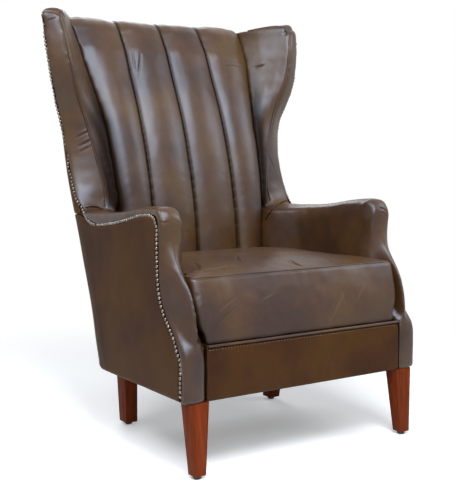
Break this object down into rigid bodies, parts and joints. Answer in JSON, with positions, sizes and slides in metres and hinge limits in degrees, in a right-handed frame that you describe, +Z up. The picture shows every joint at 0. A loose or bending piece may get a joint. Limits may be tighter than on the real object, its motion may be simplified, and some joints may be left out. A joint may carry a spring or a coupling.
{
  "type": "wingback armchair",
  "caption": "Upholstered wingback armchair with a channelled back, flared wings, shaped arms with nail trim, a loose seat cushion and tapered wooden legs.",
  "frame": {"origin": "on the floor, at the centre of the bounding box", "axes": "+Z up, +X towards the right arm as seen from the front, the chair faces -Y"},
  "size_m": [0.8586, 0.8274, 1.1384],
  "materials": {
    "leather": "antiqued gloss",
    "stained_wood": "stained and lacquered",
    "beech": "bare sawn",
    "plywood": "bare",
    "steel": "plain",
    "bronze": "dark antiqued",
    "black_nylon": "matt",
    "foam": "open cell",
    "lining_cloth": "woven",
    "jute_webbing": "woven"
  },
  "bodies": {
    "frame": {"arm_front_pad_left": "leather", "arm_front_pad_right": "leather", "arm_pad_left": "leather", "arm_pad_right": "leather", "arm_post_left": "beech", "arm_post_right": "beech", "arm_rail_left": "beech", "arm_rail_right": "beech", "back_lower_rail": "beech", "back_pad": "leather", "back_post_left": "beech", "back_post_right": "beech", "back_top_rail": "beech", "back_webbing_1": "jute_webbing", "back_webbing_2": "jute_webbing", "corner_block_front_left": "beech", "corner_block_front_right": "beech", "corner_block_rear_left": "beech", "corner_block_rear_right": "beech", "dust_cover": "lining_cloth", "front_rail": "beech", "front_rail_cover": "leather", "glide_front_left": "black_nylon", "glide_front_right": "black_nylon", "glide_rear_left": "black_nylon", "glide_rear_right": "black_nylon", "leg_bolt_front_left": "steel", "leg_bolt_front_right": "steel", "leg_bolt_rear_left": "steel", "leg_bolt_rear_right": "steel", "leg_front_left": "stained_wood", "leg_front_right": "stained_wood", "leg_rear_left": "stained_wood", "leg_rear_right": "stained_wood", "nail_strip_left": "bronze", "nail_strip_right": "bronze", "outside_arm_left": "leather", "outside_arm_right": "leather", "outside_back": "leather", "outside_wing_left": "leather", "outside_wing_right": "leather", "rear_rail": "beech", "seat_deck": "lining_cloth", "seat_spring_1": "steel", "seat_spring_2": "steel", "seat_spring_3": "steel", "seat_spring_4": "steel", "side_rail_left": "beech", "side_rail_right": "beech", "spring_bar_front": "steel", "spring_bar_rear": "steel", "wing_board_left": "plywood", "wing_board_right": "plywood", "wing_pad_left": "leather", "wing_pad_right": "leather"},
    "cushion": {"cushion_cover": "leather", "cushion_core": "foam", "zip_tape": "black_nylon"},
    "zip_slider": {"zip_slider": "bronze"}
  },
  "joints": [
    {"name": "cushion_lift", "type": "slide", "parent": "frame", "child": "cushion", "axis": [0, 0, 1], "range_m": [0, 0.25]},
    {"name": "zip_slide", "type": "slide", "parent": "cushion", "child": "zip_slider", "axis": [1, 0, 0], "range_m": [0, 0.3]}
  ]
}
